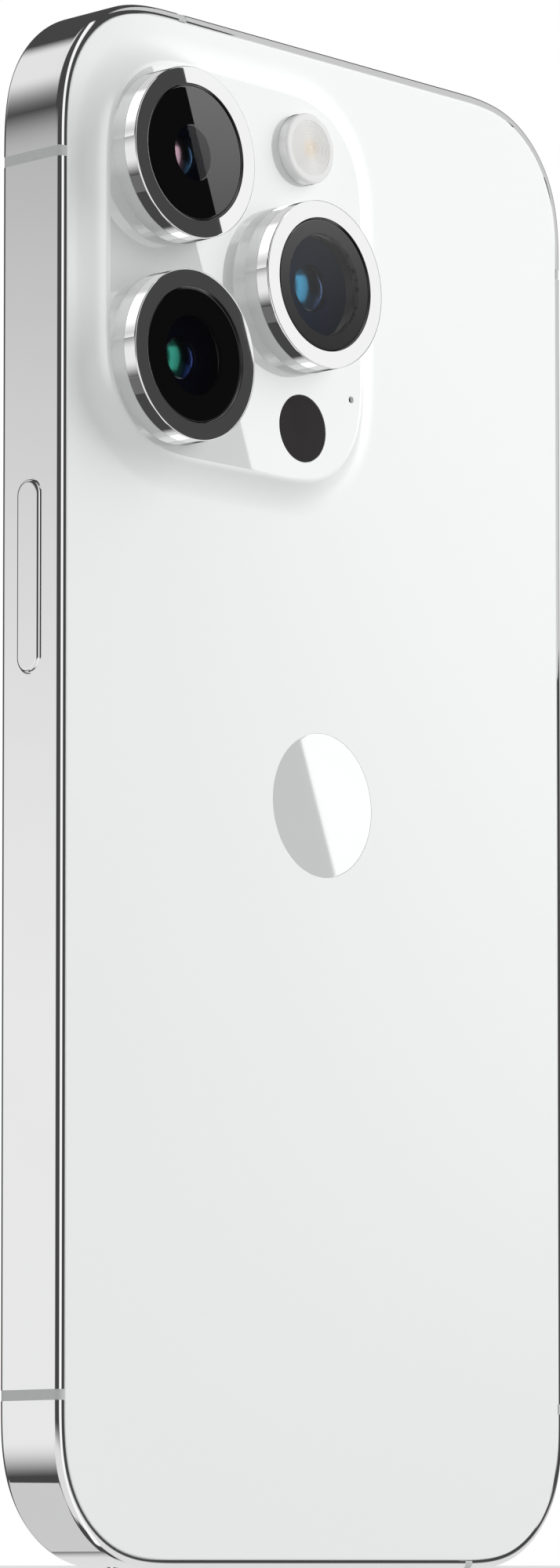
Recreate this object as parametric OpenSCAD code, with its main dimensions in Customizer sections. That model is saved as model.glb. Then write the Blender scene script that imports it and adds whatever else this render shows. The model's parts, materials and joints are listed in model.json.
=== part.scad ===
// Smartphone standing on its bottom edge, screen towards -Y, cameras towards +Y.
// The origin is the centre of the charging port's mouth, on the bottom edge.

/* [Body] */
// Width across the long edges, without the buttons
body_w = 71.5; // [71.5:0.1:72.5]
// Height from the bottom edge to the top edge
body_h = 147.5; // [147.5:0.1:149]
// Thickness from the screen to the back glass
body_t = 7.85; // [7.8:0.05:8]
// Radius of the four outer corners
corner_r = 12.4; // [12.2:0.1:12.6]
// Rounding of the band's edges, front and back
edge_r = 0.75; // [0.72:0.01:0.8]
// Thickness of the band's wall
wall = 2.4; // [2.3:0.1:2.5]
// Width of the band's lip around each glass
lip = 0.85; // [0.82:0.01:0.9]
// Depth of the band's rebates, which is the back glass's thickness
rebate = 0.8; // [0.75:0.05:0.85]
// Gap between each glass and the lip around it
glass_gap = 0.06; // [0.05:0.01:0.1]

/* [Antenna breaks] */
// Width of each plastic break in the band
break_w = 1; // [0.8:0.1:1.2]
// Height of the lower pair of breaks
break_low_z = 16.07; // [15:0.1:17]
// Height of the upper pair of breaks
break_high_z = 131.45; // [130:0.1:132]
// Sideways place of the break in the top edge
break_top_x = 19.5; // [18:0.1:20]
// Sideways place of the break in the bottom edge
break_bottom_x = -21.2; // [-22:0.1:-20]

/* [Camera plateau] */
// Sideways place of the plateau's centre
plateau_x = 13.1; // [12.9:0.1:13.2]
// Height of the plateau's centre
plateau_z = 123.35; // [123.2:0.05:123.5]
// Width of the plateau at its foot
plateau_w = 41.6; // [41.4:0.1:41.8]
// Height of the plateau at its foot
plateau_h = 44.3; // [44.2:0.1:44.4]
// How far the plateau stands out from the back
plateau_rise = 1.17; // [1.1:0.01:1.2]
// Width of the plateau's S-shaped slope
slope_w = 3.6; // [3.4:0.1:3.6]
// Corner radius of the plateau at its foot
plateau_r = 12.6; // [12.2:0.1:12.8]

/* [Lens rings] */
// Outer radius of each lens ring
ring_r = 8.09; // [8:0.01:8.15]
// Radius of the opening in each lens ring
ring_bore_r = 6.4; // [6.35:0.05:6.5]
// Height of the glass collar under each ring
collar_h = 1.5; // [1.4:0.05:1.55]
// Height of each metal ring above its collar
ring_h = 1.5; // [1.4:0.05:1.55]
// How far each cover glass lies below its ring's face
cover_recess = 0.15; // [0.1:0.05:0.25]
// Focus travel of each lens barrel
focus_travel = 0.3; // [0.1:0.1:0.3]

/* [Flash and depth sensor] */
// Sideways place of the flash, the middle camera and the depth sensor
sensor_x = 4.08; // [4:0.02:4.1]
// Height of the flash's centre
flash_z = 136.93; // [136.8:0.05:137]
// Radius of the flash lens
flash_r = 3.4; // [3.3:0.05:3.45]
// How far the flash lens stands out from the plateau
flash_rise = 1.1; // [0.9:0.05:1.2]
// Height of the depth sensor's centre
depth_z = 109.78; // [109.7:0.02:109.9]
// Radius of the depth sensor's window
depth_r = 3.24; // [3.2:0.02:3.3]

/* [Buttons] */
// Width of every button, across the phone's thickness
button_w = 2.9; // [2.7:0.1:3]
// How far every button stands out from the band
button_rise = 0.35; // [0.3:0.05:0.4]
// Travel of every button
button_travel = 0.25; // [0.15:0.05:0.25]
// Height of the side button's centre
side_button_z = 92.05; // [91:0.05:93]
// Length of the side button
side_button_l = 18.1; // [17:0.1:18.5]
// Height of the volume up button's centre
volume_up_z = 101; // [100.8:0.1:101.5]
// Height of the volume down button's centre
volume_down_z = 86.4; // [86:0.1:86.8]
// Length of each volume button
volume_l = 11.2; // [11:0.1:11.4]
// Height of the mute switch's centre
mute_z = 114.5; // [114:0.1:115]
// Travel of the mute switch across the thickness
mute_travel = 1.1; // [0.9:0.1:1.1]

/* [SIM tray] */
// Height of the SIM tray's centre
tray_z = 60.5; // [59:0.5:62]
// Length of the tray's face along the band
tray_l = 15.1; // [15:0.05:15.2]
// Width of the tray's face across the thickness
tray_w = 2.1; // [2:0.05:2.2]

/* [Bottom edge] */
// Width of the charging port's mouth
port_w = 8.4; // [8.2:0.1:8.5]
// Height of the charging port's mouth across the thickness
port_t = 2.8; // [2.7:0.05:2.9]
// Diameter of each grille hole
grille_d = 1.5; // [1.3:0.1:1.6]
// Spacing of the grille holes
grille_step = 2.55; // [2.4:0.05:2.6]
// Sideways distance from the middle to each bottom screw
screw_x = 7.35; // [7.2:0.05:7.6]

/* [Emblem] */
// Radius of the plain disc let into the back glass
emblem_r = 7; // [6:0.25:8]

/* [Hidden] */
$fn = 96;

// Planes across the thickness, from the screen at -Y to the lens rings at +Y
back_y = body_t / 2;
front_y = -body_t / 2;
seat_y = back_y - rebate;
screen_glass_t = 0.7;
panel_y = [front_y + screen_glass_t, front_y + 1.6];
tray_plate_y = [panel_y[1], panel_y[1] + 0.4];
plateau_y = back_y + plateau_rise;
collar_y = plateau_y + collar_h;
ring_y = collar_y + ring_h;
pocket_y = plateau_y - 0.85;

// Planes across the width
side_x = body_w / 2;
glass_w = body_w - 2 * (lip + glass_gap);
glass_h = body_h - 2 * (lip + glass_gap);
glass_r = corner_r - lip - glass_gap;
mid_z = body_h / 2;

// Centres of the three cameras, as [x, z]
upper_camera = [21.97, 132.95];
lower_camera = [21.97, 113.75];
middle_camera = [sensor_x, plateau_z];
CAMERAS = [upper_camera, lower_camera, middle_camera];
spigot_r = ring_r - 1.24;
barrel_r = 4.95;
barrel_clearance = 0.15;
housing_side = 14.4;
housing_y = [-1.7, 3.9];
bracket_y = [3.95, pocket_y - 0.05];
flash_at = [sensor_x, flash_z];
depth_at = [sensor_x, depth_z];
microphone_at = [-2.84, 113.6];
microphone_r = 0.35;

// Plateau pocket, inside the slope
pocket_w = 34.8;
pocket_h = 38;
pocket_r = 7.6;

// Breaks in the band: [edge, distance along it from its middle]. Edge 0 is the
// right one, 1 the top, 2 the left and 3 the bottom, and each runs anticlockwise.
BREAKS = [
    [0, break_low_z - mid_z], [0, break_high_z - mid_z],
    [2, mid_z - break_low_z], [2, mid_z - break_high_z],
    [1, -break_top_x], [3, break_bottom_x]
];

// Depths below the band's outer face for a pressed button
pocket_depth = 1.75;
cap_depth = 1.4;
plunger_depth = 2.7;
dome_depth = 3.1;
flex_depth = 3.6;
switch_depth = 4;
button_gap = 0.1;
post_r = 0.6;
post_inset = 2.2;
clip_r = 1;
plunger_r = 0.8;

// Mute switch
mute_rest_y = -mute_travel / 2;
mute_lever_w = 1.7;
mute_lever_l = 5.5;
mute_gap = 0.1;

// SIM tray
tray_face_t = 0.9;
tray_t = 0.9;
tray_depth = 20.2;
tray_span = [tray_z - 6.8, tray_z + 5.2];
pin_z = tray_z + 6.45;
pin_r = 0.4;
card_z = tray_z - 0.8;
card_x = [side_x - 15.2, side_x - 2.9];
card_w = 8.8;
card_t = 0.67;
card_y = -0.25;

// Bottom edge
port_shell_t = 0.25;
port_depth = 8.5;
grille_start = 11.6;
grille_holes = 6;
microphone_holes = 3;

// Board and battery
board_x = [-31, -8.8];
board_y = [1, 1.7];
board_z = [18, 128];
BOARD_SCREWS = [[-29.6, 19.6], [-10.2, 19.6], [-29.6, 126.6], [-10.2, 126.6]];
battery_x = [-7.5, 31.2];
battery_y = [-1.6, 2.4];
battery_z = [24.5, 98];
coil_r = [6, 20.5];
coil_y = [2.6, seat_y];
magnet_r = [23, 27.6];
magnets = 18;
coil_opening_r = 28.2;

// Haptic engine
haptic_x = [-29.5, -8.5];
haptic_y = [-1.6, 1.8];
haptic_z = [5.5, 14.3];
haptic_wall = 0.3;
haptic_mass_l = 17;
haptic_gap = 0.2;

// Front sensors, behind the pill-shaped opening in the display
pill_z = 136;
pill_w = 20.8;
pill_h = 6;
front_camera_x = 6.6;

// A box from its lowest to its highest corner
module block(x, y, z) {
    translate([x[0], y[0], z[0]]) cube([x[1] - x[0], y[1] - y[0], z[1] - z[0]]);
}

// Lays a shape drawn as seen on the back, with its height, up against the XZ plane
module upright() {
    rotate([90, 0, 0]) mirror([0, 0, 1]) children();
}

// A plate across the thickness, from an outline drawn in X and Z
module plate(y) {
    translate([0, y[0], 0]) upright() linear_extrude(y[1] - y[0]) children();
}

// A disc across the thickness
module disc(at, r, y) {
    translate([at[0], y[0], at[1]]) rotate([-90, 0, 0]) cylinder(r = r, h = y[1] - y[0]);
}

// A ring across the thickness
module hoop(at, r, y) {
    difference() {
        disc(at, r[1], y);
        disc(at, r[0], [y[0] - 1, y[1] + 1]);
    }
}

// A pin along the width
module peg(x, y, z, r) {
    translate([x[0], y, z]) rotate([0, 90, 0]) cylinder(r = r, h = x[1] - x[0]);
}

// A plate across the width, from an outline drawn in Z and Y
module side_plate(x) {
    translate([x[1], 0, 0]) rotate([0, -90, 0]) linear_extrude(x[1] - x[0]) children();
}

module rounded(w, h, r) {
    square([w - 2 * r, h], center = true);
    square([w, h - 2 * r], center = true);
    for (sx = [-1, 1], sy = [-1, 1])
        translate([sx * (w / 2 - r), sy * (h / 2 - r)]) circle(r);
}

module stadium(l, w) {
    square([l - w, w], center = true);
    for (s = [-1, 1]) translate([s * (l - w) / 2, 0]) circle(w / 2);
}

// One straight stretch of a profile along an edge of a w by h outline
module edge_strip(w, h, edge, at, l) {
    out = edge % 2 == 0 ? w / 2 : h / 2;
    rotate([0, 0, 90 * edge]) translate([out, at + l / 2, 0]) rotate([90, 0, 0])
        linear_extrude(l) children();
}

// A profile swept around a rounded w by h outline: four stretches and four corners
module sweep(w, h, r) {
    for (edge = [0:3]) {
        out = edge % 2 == 0 ? w / 2 : h / 2;
        along = edge % 2 == 0 ? h / 2 : w / 2;
        edge_strip(w, h, edge, 0, 2 * (along - r)) children();
        rotate([0, 0, 90 * edge]) translate([out - r, along - r, 0])
            rotate_extrude(angle = 90) translate([r, 0]) children();
    }
}

// Outline of the whole body, less an inset
module body_outline(inset) {
    translate([0, mid_z]) rounded(body_w - 2 * inset, body_h - 2 * inset, corner_r - inset);
}

// The band's outer lip, with its rounded edges
module lip_profile() {
    translate([-lip, front_y]) square([lip - edge_r, body_t]);
    translate([-lip, front_y + edge_r]) square([lip, body_t - 2 * edge_r]);
    for (s = [-1, 1]) translate([-edge_r, s * (back_y - edge_r)]) intersection() {
        circle(edge_r);
        translate([0, -edge_r]) square([edge_r, 2 * edge_r]);
    }
}

module band_profile() {
    lip_profile();
    translate([-wall, -seat_y]) square([wall - lip + 0.05, 2 * seat_y]);
}

// Pocket and post holes for a pressed button in the right-hand wall
module button_pocket(z, l) {
    side_plate([side_x - pocket_depth, side_x + 1]) translate([z, 0])
        stadium(l + 2 * button_gap, button_w + 2 * button_gap);
    through = [side_x - wall - 0.1, side_x - pocket_depth + 0.1];
    for (s = [-1, 1]) peg(through, 0, z + s * (l / 2 - post_inset), post_r + button_gap);
    peg(through, 0, z, plunger_r + button_gap);
}

// A pressed button: cap, two posts with their clips, and a plunger
module button(z, l) {
    side_plate([side_x - cap_depth, side_x + button_rise]) translate([z, 0])
        stadium(l, button_w);
    for (s = [-1, 1]) {
        post_z = z + s * (l / 2 - post_inset);
        peg([side_x - wall - 0.5, side_x - cap_depth], 0, post_z, post_r);
        peg([side_x - wall - 0.4, side_x - wall - 0.1], 0, post_z, clip_r);
    }
    peg([side_x - plunger_depth, side_x - cap_depth], 0, z, plunger_r);
}

// The switch under a button: flex on a bracket, with one dome
module button_switch(z, l) {
    pad = 0.6;
    block([side_x - switch_depth, side_x - flex_depth], [-1.2, 1.2], [z - l / 2, z + l / 2]);
    peg([side_x - flex_depth, side_x - dome_depth], 0, z, 0.9);
    for (s = [-1, 1])
        block([side_x - switch_depth, side_x - wall], [-1.2, 1.2],
              [z + s * l / 2 - pad, z + s * l / 2 + pad]);
}

module mute_opening() {
    side_plate([side_x - wall - 0.1, side_x + 1]) translate([mute_z, 0])
        rounded(mute_lever_l + 3 * mute_gap, mute_lever_w + mute_travel + 2 * mute_gap, 0.8);
}

// Everything that is cut into the wall for the SIM tray
module tray_opening() {
    side_plate([side_x - tray_face_t - 0.1, side_x + 1]) translate([tray_z, 0])
        stadium(tray_l + 0.2, tray_w + 0.2);
    through = [side_x - wall - 0.1, side_x - tray_face_t];
    block(through, [-0.6, 0.6], [tray_span[0] - 0.15, tray_span[1] + 0.15]);
    peg(through, 0, pin_z, pin_r + 0.1);
}

module bottom_openings() {
    translate([0, 0, -1]) linear_extrude(wall + 2) stadium(port_w + 0.1, port_t + 0.1);
    for (i = [0:grille_holes - 1])
        translate([grille_start + i * grille_step, 0, -1])
            cylinder(d = grille_d, h = wall + 2);
    for (i = [0:microphone_holes - 1])
        translate([-grille_start - i * grille_step, 0, -1])
            cylinder(d = grille_d, h = wall + 2);
    for (s = [-1, 1]) translate([s * screw_x, 0, 0]) {
        translate([0, 0, -1]) cylinder(r = 0.8, h = 1.6);
        cylinder(r = 0.5, h = wall + 1);
    }
}

module frame_band() color([0.86, 0.86, 0.88]) difference() {
    translate([0, 0, mid_z]) upright() difference() {
        sweep(body_w, body_h, corner_r) band_profile();
        for (b = BREAKS)
            edge_strip(body_w, body_h, b[0], b[1], break_w)
                translate([-lip, front_y - 1]) square([lip + 1, body_t + 2]);
    }
    button_pocket(side_button_z, side_button_l);
    mirror([1, 0, 0]) {
        button_pocket(volume_up_z, volume_l);
        button_pocket(volume_down_z, volume_l);
        mute_opening();
        tray_opening();
    }
    bottom_openings();
}

module antenna_breaks() color([0.78, 0.78, 0.78])
    translate([0, 0, mid_z]) upright()
        for (b = BREAKS) edge_strip(body_w, body_h, b[0], b[1], break_w) lip_profile();

module pocket_outline(inset) {
    translate([plateau_x, plateau_z])
        rounded(pocket_w - 2 * inset, pocket_h - 2 * inset, pocket_r - inset);
}

module mid_plate() color([0.6, 0.6, 0.63]) plate([coil_y[0], seat_y]) difference() {
    body_outline(wall);
    translate([0, mid_z]) circle(coil_opening_r);
    pocket_outline(0);
}

// The plateau's slope: a hollow arc at its foot and an equal round one at its top
module slope_profile() {
    arc_r = (slope_w * slope_w + plateau_rise * plateau_rise) / (4 * plateau_rise);
    half = slope_w / 2;
    difference() {
        union() {
            translate([-slope_w - 2, 0]) square([2, plateau_rise]);
            translate([-slope_w, 0]) square([half, plateau_rise]);
            translate([-half, 0]) square([half, plateau_rise / 2]);
        }
        difference() {
            translate([-slope_w, plateau_rise / 2]) square([half, plateau_rise]);
            translate([-slope_w, plateau_rise - arc_r]) circle(arc_r);
        }
        translate([0, arc_r]) circle(arc_r);
    }
}

module plateau() {
    core_inset = slope_w + 1;
    translate([plateau_x, back_y, plateau_z]) upright() {
        sweep(plateau_w, plateau_h, plateau_r) slope_profile();
        linear_extrude(plateau_rise)
            rounded(plateau_w - 2 * core_inset, plateau_h - 2 * core_inset,
                    plateau_r - core_inset);
    }
}

module back_glass() color([0.94, 0.95, 0.95]) difference() {
    union() {
        plate([seat_y, back_y]) translate([0, mid_z]) rounded(glass_w, glass_h, glass_r);
        plateau();
        for (c = CAMERAS) disc(c, ring_r, [plateau_y - 0.1, collar_y]);
    }
    plate([seat_y - 1, pocket_y]) pocket_outline(0);
    for (c = CAMERAS) disc(c, spigot_r + 0.1, [seat_y, ring_y]);
    disc(flash_at, flash_r + 0.05, [seat_y, ring_y]);
    disc(depth_at, depth_r + 0.05, [seat_y, ring_y]);
    disc(microphone_at, microphone_r, [seat_y, ring_y]);
    disc([0, mid_z], emblem_r, [back_y - 0.1, back_y + 1]);
}

module emblem() color([0.8, 0.8, 0.82]) disc([0, mid_z], emblem_r, [back_y - 0.1, back_y]);

module lens_ring(c) color([0.85, 0.85, 0.87]) difference() {
    union() {
        disc(c, ring_r, [collar_y, ring_y]);
        disc(c, spigot_r, [bracket_y[0], collar_y]);
    }
    disc(c, ring_bore_r, [bracket_y[0] - 1, ring_y + 1]);
}

cover_y = [ring_y - cover_recess - 0.5, ring_y - cover_recess];

module lens_cover(c) color([0.1, 0.1, 0.12, 0.5]) disc(c, ring_bore_r, cover_y);

module lens_bezel(c) color([0.05, 0.05, 0.05])
    hoop(c, [4.9, ring_bore_r], [cover_y[0] - 0.35, cover_y[0]]);

// A stepped barrel with a dished front around its first lens
module lens_barrel(c) color([0.08, 0.08, 0.1]) difference() {
    union() {
        disc(c, barrel_r, [0.3, 4.6]);
        disc(c, barrel_r - 0.5, [4.6, 6.3]);
    }
    disc(c, 3.2, [5.7, 7]);
}

module camera_housing(c) color([0.3, 0.3, 0.32]) difference() {
    plate(housing_y) translate(c) rounded(housing_side, housing_side, 2);
    disc(c, barrel_r + barrel_clearance, [0, housing_y[1] + 1]);
}

module camera_bracket() color([0.55, 0.55, 0.57]) difference() {
    plate(bracket_y) pocket_outline(0.1);
    for (c = CAMERAS) disc(c, spigot_r + 0.05, [bracket_y[0] - 1, bracket_y[1] + 1]);
    for (at = [flash_at, depth_at])
        block([at[0] - 3.6, at[0] + 3.6], [bracket_y[0] - 1, bracket_y[1] + 1],
              [at[1] - 3.6, at[1] + 3.6]);
}

module flash_lens() color([0.95, 0.93, 0.88])
    disc(flash_at, flash_r, [pocket_y + 0.35, plateau_y + flash_rise]);

module flash_board() color([0.9, 0.75, 0.3]) {
    block([flash_at[0] - 3.5, flash_at[0] + 3.5], [3.7, 4.2], [flash_z - 3.5, flash_z + 3.5]);
    for (sx = [-1, 1], sz = [-1, 1])
        block([flash_at[0] + sx - 0.7, flash_at[0] + sx + 0.7], [4.2, 4.5],
              [flash_z + sz - 0.7, flash_z + sz + 0.7]);
}

module depth_window() color([0.1, 0.1, 0.1]) disc(depth_at, depth_r, [pocket_y, plateau_y]);

module depth_sensor() color([0.2, 0.2, 0.22])
    block([depth_at[0] - 3.5, depth_at[0] + 3.5], [1, pocket_y], [depth_z - 3.5, depth_z + 3.5]);

module rear_microphone_mesh() color([0.3, 0.3, 0.3])
    disc(microphone_at, microphone_r, [pocket_y, pocket_y + 0.4]);

earpiece_w = 12;
earpiece_z = [glass_h / 2 + mid_z - 0.6, glass_h / 2 + mid_z];

module front_glass() color([0.03, 0.03, 0.04]) difference() {
    plate([front_y, panel_y[0]]) translate([0, mid_z]) rounded(glass_w, glass_h, glass_r);
    block([-earpiece_w / 2, earpiece_w / 2], [front_y - 1, panel_y[0] + 1],
          [earpiece_z[0], earpiece_z[1] + 1]);
}

module display_outline() {
    difference() {
        body_outline(wall + 0.1);
        translate([0, pill_z]) stadium(pill_w, pill_h);
    }
}

module display_panel() color([0.06, 0.06, 0.08]) plate(panel_y) display_outline();

module display_frame() color([0.5, 0.5, 0.52]) plate(tray_plate_y) display_outline();

module display_gasket() color([0.1, 0.1, 0.1]) plate([panel_y[0], -seat_y]) difference() {
    body_outline(lip + 0.15);
    body_outline(wall - 0.05);
}

// A ribbon from the display's back edge down to a plug on the board
module display_cable() color([0.75, 0.5, 0.15]) {
    ribbon_x = [-24, -18];
    ribbon_z = [84, 96];
    ribbon_t = 0.12;
    start_y = tray_plate_y[1];
    block(ribbon_x, [start_y, start_y + ribbon_t], ribbon_z);
    block(ribbon_x, [start_y, 0.3], [ribbon_z[0] - ribbon_t, ribbon_z[0]]);
    block(ribbon_x, [0.2, board_y[0]], [ribbon_z[0] - 3, ribbon_z[0]]);
}

module earpiece_mesh() color([0.15, 0.15, 0.15])
    block([-earpiece_w / 2 + 0.05, earpiece_w / 2 - 0.05], [front_y + 0.1, panel_y[0]],
          [earpiece_z[0] + 0.05, earpiece_z[1] - 0.05]);

module earpiece_speaker() color([0.2, 0.2, 0.2])
    block([-9, 9], [-1.6, 1.8], [140.3, body_h - wall]);

module front_camera() color([0.1, 0.1, 0.12]) {
    disc([front_camera_x, pill_z], 2.6, [panel_y[0], -1.8]);
    block([front_camera_x - 3.6, front_camera_x + 3.6], [-1.8, 1.2], [pill_z - 3.6, pill_z + 3.6]);
}

module face_sensor() color([0.12, 0.1, 0.12]) {
    disc([-7, pill_z], 2.3, [panel_y[0], -1.8]);
    disc([-1.5, pill_z], 1.6, [panel_y[0], -1.8]);
    block([-10.2, 2.6], [-1.8, 0.6], [pill_z - 3.2, pill_z + 3.2]);
}

module side_button() color([0.88, 0.88, 0.9]) button(side_button_z, side_button_l);

module side_button_switch() color([0.7, 0.5, 0.2]) button_switch(side_button_z, side_button_l);

module volume_up_button() color([0.88, 0.88, 0.9])
    mirror([1, 0, 0]) button(volume_up_z, volume_l);

module volume_down_button() color([0.88, 0.88, 0.9])
    mirror([1, 0, 0]) button(volume_down_z, volume_l);

module volume_switches() color([0.7, 0.5, 0.2]) mirror([1, 0, 0]) {
    button_switch(volume_up_z, volume_l);
    button_switch(volume_down_z, volume_l);
}

// The lever in its opening, with the slider that carries it behind the wall
module mute_lever() color([0.85, 0.85, 0.87]) mirror([1, 0, 0]) {
    side_plate([side_x - 2.7, side_x + 0.25]) translate([mute_z, mute_rest_y])
        rounded(mute_lever_l, mute_lever_w, 0.75);
    block([side_x - 3.5, side_x - 2.7], [mute_rest_y - 1.1, mute_rest_y + 1.1],
          [mute_z - 3.4, mute_z + 3.4]);
}

module mute_switch_base() color([0.25, 0.25, 0.25]) mirror([1, 0, 0]) {
    block([side_x - 4.6, side_x - 3.65], [-1.85, 1.85], [mute_z - 4.2, mute_z + 4.2]);
    for (s = [-1, 1])
        block([side_x - 3.65, side_x - wall], [-1.85, 1.85],
              [mute_z + s * 3.9 - 0.3, mute_z + s * 3.9 + 0.3]);
}

seal_x = [side_x - 1.9, side_x - 1.4];

module seal_core() {
    block(seal_x, [-0.3, 0.3], [tray_span[0] + 0.3, tray_span[1] - 0.3]);
}

module sim_tray() color([0.86, 0.86, 0.88]) mirror([1, 0, 0]) {
    difference() {
        side_plate([side_x - tray_face_t, side_x]) translate([tray_z, 0]) stadium(tray_l, tray_w);
        peg([side_x - 2, side_x + 1], 0, pin_z, pin_r);
    }
    difference() {
        block([side_x - tray_depth, side_x - tray_face_t], [-tray_t / 2, tray_t / 2], tray_span);
        block([card_x[0] - 0.1, card_x[1] + 0.1], [card_y, 1],
              [card_z - card_w / 2 - 0.1, card_z + card_w / 2 + 0.1]);
        block([card_x[0] + 1, card_x[1] - 1], [-1, 1],
              [card_z - card_w / 2 + 1, card_z + card_w / 2 - 1]);
        block(seal_x, [-1, 1], [tray_span[0] - 1, tray_span[1] + 1]);
    }
    seal_core();
}

module sim_tray_seal() color([0.15, 0.15, 0.15]) mirror([1, 0, 0]) difference() {
    block(seal_x, [-0.55, 0.55], [tray_span[0] - 0.1, tray_span[1] + 0.1]);
    seal_core();
}

module sim_card() color([0.9, 0.8, 0.4]) mirror([1, 0, 0])
    block(card_x, [card_y, card_y + card_t], [card_z - card_w / 2, card_z + card_w / 2]);

module sim_reader() color([0.6, 0.6, 0.6]) mirror([1, 0, 0]) difference() {
    block([side_x - tray_depth - 1, side_x - wall], [-1, 1], [tray_z - 7.6, tray_z + 7.6]);
    block([side_x - tray_depth - 0.3, side_x], [-0.7, 0.7],
          [tray_span[0] - 0.3, tray_span[1] + 0.3]);
    peg([side_x - 8, side_x], 0, pin_z, pin_r + 0.1);
}

module port_shell() color([0.7, 0.7, 0.72]) difference() {
    union() {
        translate([0, 0, 0.15]) linear_extrude(port_depth - 0.15) stadium(port_w, port_t);
        translate([0, 0, wall]) linear_extrude(0.4) stadium(port_w + 2, port_t + 0.9);
    }
    translate([0, 0, -1]) linear_extrude(port_depth + 0.4)
        stadium(port_w - 2 * port_shell_t, port_t - 2 * port_shell_t);
}

module port_contacts() color([0.85, 0.7, 0.3]) {
    inside_y = port_t / 2 - port_shell_t;
    for (s = [-1, 1], i = [-3.5:3.5])
        block([i * 0.7 - 0.2, i * 0.7 + 0.2],
              s > 0 ? [inside_y - 0.2, inside_y] : [-inside_y, -inside_y + 0.2],
              [3, port_depth - 0.6]);
}

module bottom_speaker() color([0.15, 0.15, 0.15]) difference() {
    union() {
        block([10, 29], [-1.6, 2.4], [4.5, 22]);
        block([10.6, 23.2], [-1.6, 1.6], [wall, 4.5]);
    }
    block([11, 22.8], [-1.2, 1.2], [wall - 1, 8]);
}

module bottom_microphones() color([0.2, 0.2, 0.2]) difference() {
    block([-17.6, -10.6], [-1.4, 1.4], [wall, 3.9]);
    for (i = [0:microphone_holes - 1])
        translate([-grille_start - i * grille_step, 0, wall - 1]) cylinder(r = 0.4, h = 2);
}

module bottom_screws() color([0.8, 0.8, 0.82]) for (s = [-1, 1]) translate([s * screw_x, 0, 0])
    difference() {
        union() {
            translate([0, 0, 0.1]) cylinder(r = 0.75, h = 0.5);
            translate([0, 0, 0.5]) cylinder(r = 0.48, h = wall + 0.5);
        }
        cylinder(r = 0.35, h = 0.35);
    }

module battery() color([0.12, 0.12, 0.13]) plate(battery_y)
    translate([(battery_x[0] + battery_x[1]) / 2, (battery_z[0] + battery_z[1]) / 2])
        rounded(battery_x[1] - battery_x[0], battery_z[1] - battery_z[0], 1.5);

module logic_board() color([0.1, 0.3, 0.2]) difference() {
    block(board_x, board_y, board_z);
    for (at = BOARD_SCREWS) disc(at, 0.55, [board_y[0] - 1, board_y[1] + 1]);
}

module board_shields() color([0.7, 0.7, 0.72]) {
    for (z = [[22, 50], [56, 88], [92, 124]])
        block([-30.5, -9.5], [board_y[1], 2.45], z);
    for (z = [[22, 50], [98, 124]])
        block([-30.5, -9.5], [-1.4, board_y[0]], z);
}

module board_screws() color([0.75, 0.75, 0.77]) for (at = BOARD_SCREWS) {
    disc(at, 0.9, [0.5, board_y[0]]);
    disc(at, 0.5, [board_y[0], coil_y[0]]);
}

module haptic_case() color([0.6, 0.6, 0.62]) difference() {
    block(haptic_x, haptic_y, haptic_z);
    block([haptic_x[0] + haptic_wall, haptic_x[1] - haptic_wall],
          [haptic_y[0] + haptic_wall, haptic_y[1] - haptic_wall],
          [haptic_z[0] + haptic_wall, haptic_z[1] - haptic_wall]);
}

module haptic_mass() color([0.4, 0.4, 0.42]) {
    inset = haptic_wall + haptic_gap;
    mid_x = (haptic_x[0] + haptic_x[1]) / 2;
    block([mid_x - haptic_mass_l / 2, mid_x + haptic_mass_l / 2],
          [haptic_y[0] + inset, haptic_y[1] - inset], [haptic_z[0] + inset, haptic_z[1] - inset]);
}

module charging_coil() color([0.8, 0.45, 0.2]) hoop([0, mid_z], coil_r, coil_y);

// Arc-shaped magnets, evenly spaced around the coil
module magnet_ring() color([0.5, 0.5, 0.52]) {
    pitch = 360 / magnets;
    translate([0, coil_y[0] - 0.1, mid_z]) upright()
        for (i = [0:magnets - 1]) rotate([0, 0, i * pitch])
            rotate_extrude(angle = pitch - 2) translate([magnet_r[0], 0])
                square([magnet_r[1] - magnet_r[0], seat_y - coil_y[0] + 0.1]);
}

frame_band();
antenna_breaks();
mid_plate();
back_glass();
emblem();
lens_ring(upper_camera);  // lens_ring_upper
lens_ring(lower_camera);  // lens_ring_lower
lens_ring(middle_camera);  // lens_ring_middle
lens_cover(upper_camera);  // lens_cover_upper
lens_cover(lower_camera);  // lens_cover_lower
lens_cover(middle_camera);  // lens_cover_middle
lens_bezel(upper_camera);  // lens_bezel_upper
lens_bezel(lower_camera);  // lens_bezel_lower
lens_bezel(middle_camera);  // lens_bezel_middle
lens_barrel(upper_camera);  // lens_barrel_upper
lens_barrel(lower_camera);  // lens_barrel_lower
lens_barrel(middle_camera);  // lens_barrel_middle
camera_housing(upper_camera);  // camera_housing_upper
camera_housing(lower_camera);  // camera_housing_lower
camera_housing(middle_camera);  // camera_housing_middle
camera_bracket();
flash_lens();
flash_board();
depth_window();
depth_sensor();
rear_microphone_mesh();
front_glass();
display_panel();
display_frame();
display_gasket();
display_cable();
earpiece_mesh();
earpiece_speaker();
front_camera();
face_sensor();
side_button();
side_button_switch();
volume_up_button();
volume_down_button();
volume_switches();
mute_lever();
mute_switch_base();
sim_tray();
sim_tray_seal();
sim_card();
sim_reader();
port_shell();
port_contacts();
bottom_speaker();
bottom_microphones();
bottom_screws();
battery();
logic_board();
board_shields();
board_screws();
haptic_case();
haptic_mass();
charging_coil();
magnet_ring();
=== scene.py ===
"""The looks of a smartphone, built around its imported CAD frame. All lengths are in metres.

Pieces that need fine edges or curved glass are rebuilt here in place of their CAD nodes. The rest
of the CAD nodes stay and take a material from the record's slots.
"""

import json
import math

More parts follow.
